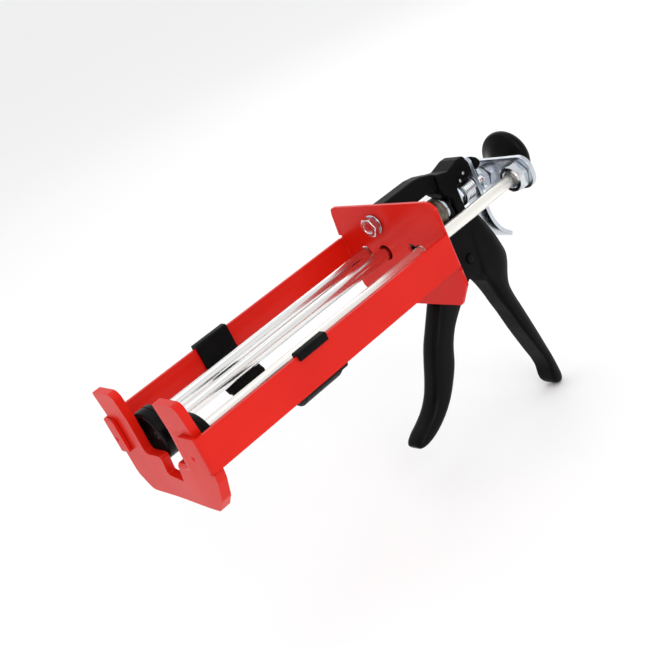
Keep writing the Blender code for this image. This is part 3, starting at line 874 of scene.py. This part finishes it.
STATIONS = [
    # front u, w; rear u, w; ridge u; half width
    (-60.0, -4.0, -75.6, -3.6, -68.5, 9.6),
    (-59.0, -14.0, -79.8, -12.5, -70.7, 10.2),
    (-58.0, -26.0, -84.2, -24.0, -73.5, 10.4),
    (-57.5, -36.0, -87.3, -35.0, -74.8, 10.3),
    (-58.0, -43.0, -88.7, -41.5, -74.0, 9.8),
    (-60.6, -48.2, -87.5, -48.0, -71.0, 9.2),
    (-62.8, -54.5, -84.0, -55.0, -68.9, 8.6),
    (-64.6, -61.0, -81.4, -62.0, -69.0, 8.2),
    (-66.6, -68.5, -81.9, -70.0, -70.0, 8.0),
    (-70.0, -79.5, -84.1, -80.5, -72.8, 8.0),
    (-73.4, -93.0, -87.0, -94.5, -75.8, 8.0),
    (-77.3, -106.0, -89.7, -108.5, -79.0, 8.0),
    (-80.6, -117.0, -91.5, -119.0, -82.0, 7.9),
    (-83.0, -125.0, -92.7, -126.0, -84.6, 7.8),
    (-84.0, -132.0, -93.9, -133.5, -85.8, 7.6),
    (-83.2, -138.5, -94.8, -139.5, -85.4, 7.6),
    (-83.2, -143.0, -95.2, -144.6, -86.0, 7.4),
    (-85.0, -146.6, -94.6, -148.0, -87.8, 6.4),
    (-88.0, -149.0, -93.0, -149.7, -89.6, 4.4),
]


def grip_ring(front, rear, ridge, half, round_front=3.2):
    """One section: a rounded front, flat sides to the ridge, and a deep rounded back."""
    f, r = Vector(front), Vector(rear)
    length = (r - f).length
    d = (r - f).normalized()
    rf = min(round_front, half * 0.6, ridge * 0.8)
    pts = []
    for k in range(6):
        t = math.pi / 2 * k / 5
        pts.append((rf - rf * math.cos(t), half - rf + rf * math.sin(t)))
    for k in range(1, 4):
        pts.append((rf + (ridge - rf) * k / 4, half))
    back = length - ridge
    for k in range(0, 10):
        t = math.pi / 2 * k / 10
        pts.append((ridge + back * math.sin(t) ** 0.92, half * math.cos(t) ** 0.82))
    ring_pts = [(a, b) for a, b in pts] + [(length, 0.0)] + [(a, -b) for a, b in reversed(pts)]
    return [(f.x + d.x * a, MID + b, f.y + d.y * a) for a, b in ring_pts]


def stations_smooth(rows, per=3):
    return spline(rows, per)


class Row(tuple):
    pass


def spline_rows(rows, per=3):
    out = []
    n = len(rows)
    for i in range(n - 1):
        p0, p1, p2, p3 = rows[max(i - 1, 0)], rows[i], rows[i + 1], rows[min(i + 2, n - 1)]
        for k in range(per):
            t = k / per
            out.append(
                tuple(
                    0.5 * (2 * b + (c - a) * t + (2 * a - 5 * b + 4 * c - d) * t * t + (3 * b - a - 3 * c + d) * t**3)
                    for a, b, c, d in zip(p0, p1, p2, p3)
                )
            )
    out.append(tuple(rows[-1]))
    return out


rings = []
for fu, fw, ru, rw, ridge_u, half in spline_rows(STATIONS, 4):
    share = (ridge_u - fu) / (ru - fu)
    length = math.hypot(ru - fu, rw - fw)
    rings.append(grip_ring((fu, fw), (ru, rw), share * length, half))
grip = to_object(loft(rings), "body")

cheek_outline = spline(
    [
        (-2.4, 3.2),
        (-20.0, 3.4),
        (-40.0, 3.4),
        (-58.0, 3.4),
        (-66.4, 2.6),
        (-71.0, -4.0),
        (-73.0, -12.5),
        (-74.5, -24.0),
        (-75.5, -36.0),
        (-74.0, -43.0),
        (-69.5, -50.0),
        (-64.4, -52.5),
        (-61.2, -47.6),
        (-55.0, -42.6),
        (-44.0, -37.2),
        (-30.0, -32.6),
        (-14.0, -28.0),
        (-2.4, -23.6),
    ],
    3,
    True,
)
cheeks = prism_v([(min(u, -2.35), w) for u, w in cheek_outline], MID - 9.9, MID + 9.9)
bm = bmesh.new()
bm.from_mesh(cheeks.data)
for k in range(12):
    bmesh.ops.bisect_plane(bm, geom=bm.verts[:] + bm.edges[:] + bm.faces[:], plane_co=place((0, 0, -30.0 - 2 * k)), plane_no=(0, 0, 1), dist=1e-7)
for vert in bm.verts:
    w = vert.co.z * 1000 + ORIGIN[2]
    half = 9.9 - 2.3 * ease((-30.0 - w) / 18.0)
    vert.co.y = math.copysign(half * 0.001, vert.co.y)
bm.to_mesh(cheeks.data)
bm.free()
bevel(cheeks, 1.2, 2, 50)
wall = bevel(prism_u([(27.2, -20), (46.8, -20), (46.8, 38.6), (27.2, 38.6)], -8.9, -2.35), 0.7, 2, 50)
arm = bevel(
    prism_v(
        rounded(
            [(-2.4, 25.0), (-50.4, 25.0), (-53.0, 20.0), (-60.0, 18.0), (-60.0, 31.4), (-54.0, 34.2), (-45.5, 37.2), (-38.0, 38.4), (-2.4, 38.4)],
            [0, 3, 2, 0, 0, 6, 12, 12, 0],
            5,
        ),
        MID - 5.8,
        MID + 5.8,
    ),
    1.6,
    3,
    50,
)
block = bevel(
    prism_v(
        [
            (-52.2, 24.4),
            (-53.8, 19.5),
            (-58.9, 14.0),
            (-58.9, 0.0),
            (-66.6, 0.0),
            (-66.6, 17.9),
            (-73.6, 18.1),
            (-81.3, 18.7),
            (-82.0, 30.4),
            (-80.6, 32.8),
            (-75.0, 33.0),
            (-64.5, 30.4),
            (-57.0, 32.6),
            (-53.2, 33.8),
        ],
        MID - 8.4,
        MID + 8.4,
    ),
    1.0,
    2,
    50,
)
lug = bevel(
    prism_v(
        rounded([(-76.0, 18.4), (-90.2, 19.0), (-93.4, 20.2), (-94.0, 22.6), (-92.2, 25.8), (-88.6, 28.2), (-78.0, 28.8)], [0, 1.5, 1, 1, 2, 2, 0], 4),
        MID - 10.1,
        MID + 7.6,
    ),
    1.4,
    3,
    50,
)
heel = to_object(
    loft(
        [
            [
                (-72.5 + 3.4 * q * math.cos(2 * math.pi * k / 24), MID + v, -4.6 + 3.4 * q * math.sin(2 * math.pi * k / 24))
                for k in range(24)
            ]
            for v, q in ((-6.0, 0.5), (-5.2, 0.85), (-3.5, 1.0), (3.5, 1.0), (5.2, 0.85), (6.0, 0.5))
        ]
    ),
    "heel",
)
union(grip, cheeks, wall, arm, block, lug, heel)
# the grip is hollowed, slotted for the release lever and bored for the drive rod, the carrier bolt and the trigger
# pin
cavity = prism_v(
    [
        (-9.0, 6.0),
        (-58.8, 6.0),
        (-59.6, -17.0),
        (-61.4, -22.5),
        (-61.8, -28.0),
        (-61.2, -36.0),
        (-60.4, -46.0),
        (-60.4, -70.0),
        (-9.0, -70.0),
    ],
    MID - 8.35,
    MID + 8.35,
)
slot = prism_v([(-82.7, 14.0), (-83.4, 36.0), (-88.2, 36.0), (-87.7, 14.0)], MID - 7.4, MID + 12.0)
cut(
    grip,
    cavity,
    slot,
    bar(-12.0, 0.0, 4.35, V_DRIVE, AXIS_W, 48),
    bar(-90.0, -50.0, 4.35, V_DRIVE, AXIS_W, 48),
    bar(-13.0, 0.0, 3.25, BOLT_V, BOLT_W, 32),
    pin_v(MID - 20, MID + 20, 3.1, *PIVOT),
)
soften(grip, 0.5, 5, 0.5)
finish(grip, CAST, "gun_body", "black_coat", "body_casting", smooth=180)

# ================================================================ trigger

T_STATIONS = [
    # front u, w; rear u, w; half width
    (-50.5, -18.8, -58.6, -27.0, 7.2),
    (-44.0, -20.0, -56.5, -34.0, 7.9),
    (-36.0, -22.6, -51.0, -39.6, 8.0),
    (-26.0, -28.4, -43.6, -44.6, 8.0),
    (-17.4, -36.4, -35.2, -50.5, 8.0),
    (-11.6, -44.0, -27.3, -56.2, 8.0),
    (-5.6, -52.0, -21.8, -61.0, 8.0),
    (0.2, -59.6, -16.0, -69.0, 8.0),
    (5.2, -68.2, -10.4, -80.4, 8.0),
    (10.8, -79.4, -2.4, -90.6, 8.0),
    (16.2, -88.0, 4.9, -97.6, 8.0),
    (22.8, -94.4, 13.4, -103.4, 8.0),
    (30.2, -98.7, 23.3, -108.0, 8.0),
    (37.0, -101.8, 32.0, -110.2, 7.8),
    (41.6, -104.6, 38.2, -110.6, 6.8),
    (43.4, -106.8, 41.6, -109.9, 5.0),
]


def trigger_ring(front, rear, half):
    f, r = Vector(front), Vector(rear)
    c, arm_ = (f + r) / 2, (f - r) / 2
    pts = []
    for k in range(40):
        t = 2 * math.pi * k / 40
        e = 2 / 3.0
        a = math.copysign(abs(math.cos(t)) ** e, math.cos(t))
        b = math.copysign(abs(math.sin(t)) ** e, math.sin(t))
        pts.append((c.x + arm_.x * a, MID + half * b, c.y + arm_.y * a))
    return pts


rings = [trigger_ring((a, b), (c, d), h) for a, b, c, d, h in spline_rows(T_STATIONS, 4)]
trigger = to_object(loft(rings), "trigger_lever")
fork = [
    (-57.6, -24.0),
    (-57.8, -8.0),
    (-57.6, 6.0),
    (-56.6, 13.0),
    (-54.6, 14.6),
    (-53.2, 12.6),
    (-53.0, 9.5),
    (-53.3, 5.0),
    (-54.0, -6.0),
    (-50.0, -17.0),
    (-44.0, -26.0),
]
union(
    trigger,
    bevel(prism_v(fork, MID + 4.9, MID + 7.7), 0.5, 2, 50),
    bevel(prism_v(fork, MID - 7.7, MID - 4.9), 0.5, 2, 50),
)
channel = [
    (-42.0, -30.0),
    (-31.0, -33.5),
    (-21.0, -42.5),
    (-11.5, -54.0),
    (-5.0, -63.5),
    (0.8, -74.5),
    (7.0, -85.5),
    (14.4, -94.5),
    (23.4, -100.6),
    (33.0, -104.8),
    (37.5, -107.0),
    (37.0, -122.0),
    (-10.0, -122.0),
    (-30.0, -90.0),
    (-46.0, -60.0),
    (-52.0, -44.0),
    (-46.0, -38.0),
]
cut(trigger, prism_v(channel, MID - 5.2, MID + 5.2), pin_v(MID - 20, MID + 20, 3.1, *PIVOT))
soften(trigger, 0.5, 6, 0.5)
finish(trigger, TRIGGER, "trigger", "black_coat", "trigger", smooth=180)

# ================================================================ drive train
finish(coil(-33.4, -9.3, 6.6, 0.6, 6.0, V_DRIVE, AXIS_W, "spring_drive"), SPRING, "gun_body", "spring_steel", "drive_spring", smooth=180)
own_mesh(bpy.data.objects["spring_drive"])
sleeve_obj = turned(
    [
        (-50.4, 4.3),
        (-50.4, 8.9),
        (-50.2, 9.3),
        (-49.7, 9.5),
        (-47.6, 9.5),
        (-47.3, 9.25),
        (-46.7, 9.25),
        (-46.4, 9.5),
        (-34.8, 9.5),
        (-34.1, 9.2),
        (-33.8, 8.6),
        (-33.8, 4.9),
        (-34.4, 4.3),
        (-50.4, 4.3),
    ],
    V_DRIVE,
    AXIS_W,
    72,
    "sleeve",
)
finish(sleeve_obj, SLEEVE, "drive", "brown_steel", "drive_sleeve", smooth=40)
finish(ring(-52.6, -50.7, 4.4, 9.2, V_DRIVE, AXIS_W, name="thrust_ring"), ZINC, "drive", "zinc", "thrust_washer")

# ================================================================ rod lock
finish(hex_nut(-71.4, -67.0, 11.5, 4.3, V_DRIVE, AXIS_W, 0, "gland"), ZINC_NUT, "gun_body", "zinc", "gland_nut", smooth=25)
finish(ring(-73.2, -71.7, 4.4, 8.0, V_DRIVE, AXIS_W, name="lock_washer"), ZINC, "gun_body", "zinc", "lock_spring_washer")
finish(coil(-83.8, -73.5, 6.4, 0.85, 5.2, V_DRIVE, AXIS_W, "spring_lock"), SPRING, "gun_body", "spring_steel", "lock_spring", smooth=180)
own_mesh(bpy.data.objects["spring_lock"])


def release_lever():
    """A stamped strip, bent back into a thumb tab."""
    middle = spline(
        [
            (-85.7, 28.9),
            (-85.7, 24.0),
            (-85.7, 18.0),
            (-85.7, 8.0),
            (-85.7, -2.0),
            (-85.75, -8.0),
            (-86.2, -14.0),
            (-87.6, -20.0),
            (-90.4, -26.0),
            (-94.6, -31.0),
            (-99.0, -34.4),
            (-101.6, -36.0),
        ],
        6,
    )
    rows = []
    total = len(middle) - 1
    for i, (u, w) in enumerate(middle):
        a = Vector(middle[max(i - 1, 0)])
        b = Vector(middle[min(i + 1, total)])
        d = (b - a).normalized()
        n = Vector((-d.y, d.x))
        if w > -1.0:
            half = 7.0
        elif w > -6.0:
            half = 7.0 - 0.6 * (0.5 - 0.5 * math.cos(math.pi * (-1.0 - w) / 5.0))
        else:
            half = 6.4
        back = math.hypot(u + 101.6, w + 36.0)
        if back < 6.4:
            half = max(1.4, math.sqrt(max(0.0, 6.4**2 - (6.4 - back) ** 2)))
        if w > 25.9:
            half -= 2.6 * ((w - 25.9) / 3.0) ** 2
        rows.append([(u + n.x * t, MID + v, w + n.y * t) for t, v in ((1.45, -half), (1.45, half), (-1.45, half), (-1.45, -half))])
    obj = to_object(loft(rows), "lever_release")
    hole = bar(-92.0, -80.0, 4.65, V_DRIVE, AXIS_W, 56)
    cut(obj, hole)
    bevel(obj, 0.4, 3, 45)
    return finish(obj, ZINC, "release", "zinc", "release_lever", smooth=40)


release_lever()

# ================================================================ fasteners


def hex_bolt():
    obj = hex_nut(1.9, 6.3, 11.5, 0, BOLT_V, BOLT_W, 0, "bolt", both=False)
    dish = turned([(5.6, 0), (5.75, 2.5), (6.0, 3.6), (7.5, 4.2), (7.5, 0)], BOLT_V, BOLT_W, 48)
    cut(obj, dish)
    shank = bar(-8.6, 2.6, 2.9, BOLT_V, BOLT_W, 40, 0.3)
    union(obj, shank)
    return finish(obj, ZINC_NUT, "gun_body", "zinc", "carrier_bolt", smooth=25)


hex_bolt()
finish(ring(0.3, 1.6, 3.3, 6.6, BOLT_V, BOLT_W, name="bolt_washer"), ZINC, "gun_body", "zinc", "carrier_bolt_washer")
finish(pin_v(MID - 10.9, MID + 10.9, 2.95, *PIVOT, name="pivot_pin"), CAST, "gun_body", "black_coat", "trigger_pin")
finish(pin_v(MID + 1, MID + 8.7, 1.05, -75.2, 23.2, 24, 0.3, "dowel_a"), SPRING, "gun_body", "zinc", "dowel_upper")
finish(pin_v(MID + 1, MID + 8.7, 1.05, -70.6, 20.4, 24, 0.3, "dowel_b"), SPRING, "gun_body", "zinc", "dowel_lower")

# ================================================================ plunger


def threaded_rod(name, node, u0, u1, r, v, material, thread):
    """A plain rod whose rear end is threaded where its nut holds it."""
    edge = 0.6
    profile = [(u0, 0), (u0, r - edge), (u0 + edge, r - 0.15)]
    u = u0 + edge
    pitch = 1.25
    while u + pitch < thread:
        profile += [(u + 0.25 * pitch, r), (u + 0.75 * pitch, r - 0.45), (u + pitch, r - 0.1)]
        u += pitch
    profile += [(thread + 0.4, r - 0.45), (thread + 1.2, r), (u1 - edge, r), (u1, r - edge), (u1, 0)]
    return finish(turned(profile, v, AXIS_W, 64, name), material, "plunger", "steel_rod", node, smooth=30)


threaded_rod("rod_drive", "drive_rod", -112.0, 184.0, ROD_R, V_DRIVE, ROD, -90.0)
threaded_rod("rod_right", "push_rod_right", -100.0, 184.0, ROD_R, V_RIGHT, ROD, -88.5)
threaded_rod("rod_left", "push_rod_left", -100.0, 184.0, SIDE_ROD_R, V_LEFT, ROD_SATIN, -89.5)


def disc(name, node, v, bores):
    r = DISC_R
    profile = [
        (178.5, 0),
        (178.5, r - 1.6),
        (178.7, r - 0.9),
        (179.2, r - 0.3),
        (179.8, r),
        (182.2, r),
        (182.5, r - 0.35),
        (183.3, r - 0.35),
        (183.6, r),
        (187.5, r),
        (188.1, r - 0.2),
        (188.5, r - 0.7),
        (188.6, r - 1.2),
        (188.6, r - 1.8),
        (188.3, r - 2.2),
        (187.4, r - 2.5),
        (186.9, r - 3.0),
        (186.7, r - 4.0),
        (186.6, 9.0),
        (186.5, 0),
    ]
    obj = turned(profile, v, DISC_W, 96, name)
    cuts = []
    for bv, r in bores:
        cuts.append(bar(170.0, 184.4, r + 0.25, bv, AXIS_W, 48))
        cuts.append(bar(180.0, 195.0, 2.6, bv, AXIS_W, 32))
    cut(obj, *cuts)
    return finish(obj, DISC, "plunger", "black_plastic", node, smooth=35)


disc("disc_r", "plunger_disc_right", V_DISC_RIGHT, [(V_RIGHT, ROD_R), (V_DRIVE, ROD_R)])
disc("disc_l", "plunger_disc_left", V_DISC_LEFT, [(V_LEFT, SIDE_ROD_R)])
for name, v in (("right", V_RIGHT), ("drive", V_DRIVE), ("left", V_LEFT)):
    head = turned(
        [(184.6, 0), (184.6, 2.3), (187.0, 2.3), (187.0, 3.1), (187.1, 3.2), (187.6, 3.2), (188.0, 3.0), (188.3, 2.5), (188.5, 1.8), (188.6, 0)],
        v,
        AXIS_W,
        48,
        f"screw_{name}",
    )
    socket = prism_u(hexagon(2.2, v, AXIS_W, 15), 187.3, 190.0)
    cut(head, socket)
    finish(head, TRIGGER, "plunger", "black_coat", f"disc_screw_{name}", smooth=30)

yoke_outline = rounded([(7.5, -1.2), (80.0, -1.2), (80.0, 21.0), (7.5, 21.0)], [9, 9, 9, 9], 10)
yoke = prism_u(yoke_outline, -100.4, -97.0, "yoke")
cut(yoke, *[bar(-106.0, -90.0, r + 0.25, v, AXIS_W, 48) for v, r in ((V_RIGHT, ROD_R), (V_DRIVE, ROD_R), (V_LEFT, SIDE_ROD_R))])
bevel(yoke, 0.45, 3, 45)
finish(yoke, ZINC, "plunger", "zinc", "yoke_plate", smooth=40)
finish(hex_nut(-96.7, -90.4, 14.0, 4.05, V_DRIVE, AXIS_W, 10, "nut_drive"), ZINC_NUT, "plunger", "zinc", "yoke_nut_drive", smooth=25)
finish(hex_nut(-96.7, -90.4, 14.0, 4.05, V_RIGHT, AXIS_W, 20, "nut_right"), ZINC_NUT, "plunger", "zinc", "yoke_nut_right", smooth=25)
finish(hex_nut(-96.7, -89.0, 17.0, 5.4, V_LEFT, AXIS_W, 12, "nut_left"), ZINC_NUT, "plunger", "zinc", "yoke_nut_left", smooth=25)
finish(ring(-102.3, -100.7, 4.3, 9.5, V_DRIVE, AXIS_W, name="knob_ring"), ZINC, "plunger", "zinc", "knob_washer")

knob_line = spline(
    [
        (-104.4, 7.9),
        (-107.0, 7.4),
        (-110.5, 7.5),
        (-114.0, 8.9),
        (-117.2, 12.0),
        (-119.4, 15.4),
        (-120.8, 17.5),
        (-122.6, 18.4),
        (-124.8, 18.5),
        (-127.0, 17.6),
        (-129.4, 15.2),
        (-131.6, 11.2),
        (-133.0, 6.0),
        (-133.5, 1.6),
    ],
    4,
)
knob_profile = [(-102.6, 0), (-102.6, 8.0), (-102.9, 8.5), (-103.4, 8.6)] + knob_line + [(-133.6, 0)]
knob = turned(list(reversed(knob_profile)), V_DRIVE, AXIS_W, 96, "knob")
cut(knob, bar(-112.5, -95.0, ROD_R + 0.25, V_DRIVE, AXIS_W, 48))
finish(knob, KNOB, "plunger", "gloss_black", "pull_knob", smooth=50)

# ================================================================ stage, lights and camera

low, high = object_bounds()
floor_z = low.z - 0.0005
bm = bmesh.new()
bmesh.ops.create_grid(bm, x_segments=1, y_segments=1, size=30)
for vert in bm.verts:
    vert.co.z = floor_z
mesh = bpy.data.meshes.new("floor")
bm.to_mesh(mesh)
bm.free()
floor = bpy.data.objects.new("floor", mesh)
bpy.context.scene.collection.objects.link(floor)
pale = bpy.data.materials.new("pale_floor")
pale.use_nodes = True
pale.node_tree.nodes["Principled BSDF"].inputs["Base Color"].default_value = (0.97, 0.97, 0.97, 1)
pale.node_tree.nodes["Principled BSDF"].inputs["Roughness"].default_value = 0.8
pale.node_tree.nodes["Principled BSDF"].inputs["Specular IOR Level"].default_value = 0.1
mesh.materials.append(pale)

world = bpy.data.worlds.new("studio")
bpy.context.scene.world = world
world.use_nodes = True
tree = world.node_tree
geometry = tree.nodes.new("ShaderNodeTexCoord")
split = tree.nodes.new("ShaderNodeSeparateXYZ")
ramp = tree.nodes.new("ShaderNodeValToRGB")
ramp.color_ramp.elements[0].position = 0.05
ramp.color_ramp.elements[0].color = (1.0, 1.0, 1.0, 1)
ramp.color_ramp.elements[1].position = 0.55
ramp.color_ramp.elements[1].color = (0.88, 0.88, 0.89, 1)
tree.links.new(geometry.outputs["Generated"], split.inputs[0])
tree.links.new(split.outputs["Z"], ramp.inputs["Fac"])
tree.links.new(ramp.outputs["Color"], tree.nodes["Background"].inputs["Color"])
tree.nodes["Background"].inputs["Strength"].default_value = 1.0


def area(name, at, aim, size, power):
    data = bpy.data.lights.new(name, "AREA")
    data.shape = "RECTANGLE"
    data.size, data.size_y = size
    data.energy = power
    obj = bpy.data.objects.new(name, data)
    bpy.context.scene.collection.objects.link(obj)
    obj.location = at
    obj.rotation_euler = (Vector(aim) - Vector(at)).to_track_quat("-Z", "Y").to_euler()
    return obj


centre = (low + high) / 2
area("key", (0.5, 1.5, 1.0), centre, (1.0, 1.0), 8)
area("top", (0.0, 0.1, 1.6), centre, (1.6, 1.2), 3.5)
area("back", (-1.0, -0.9, 0.9), centre, (0.8, 0.8), 1.5)

RIGHT = Vector((-0.66820003, 0.62555449, -0.40272857))
DOWN = Vector((0.54911396, 0.04944102, -0.83428379))
FORWARD = Vector((-0.50197866, -0.77861233, -0.3765372))
data = bpy.data.cameras.new("camera")
data.sensor_width = 36.0
data.lens = 1143.8 / 665 * 36.0
data.clip_start, data.clip_end = 0.01, 100
camera = bpy.data.objects.new("camera", data)
bpy.context.scene.collection.objects.link(camera)
turn = Matrix((RIGHT, -DOWN, -FORWARD)).transposed().to_4x4()
camera.matrix_world = Matrix.Translation(place((400.37, 564.22, 245.66))) @ turn
bpy.context.scene.camera = camera
bpy.context.scene.view_settings.view_transform = "Standard"
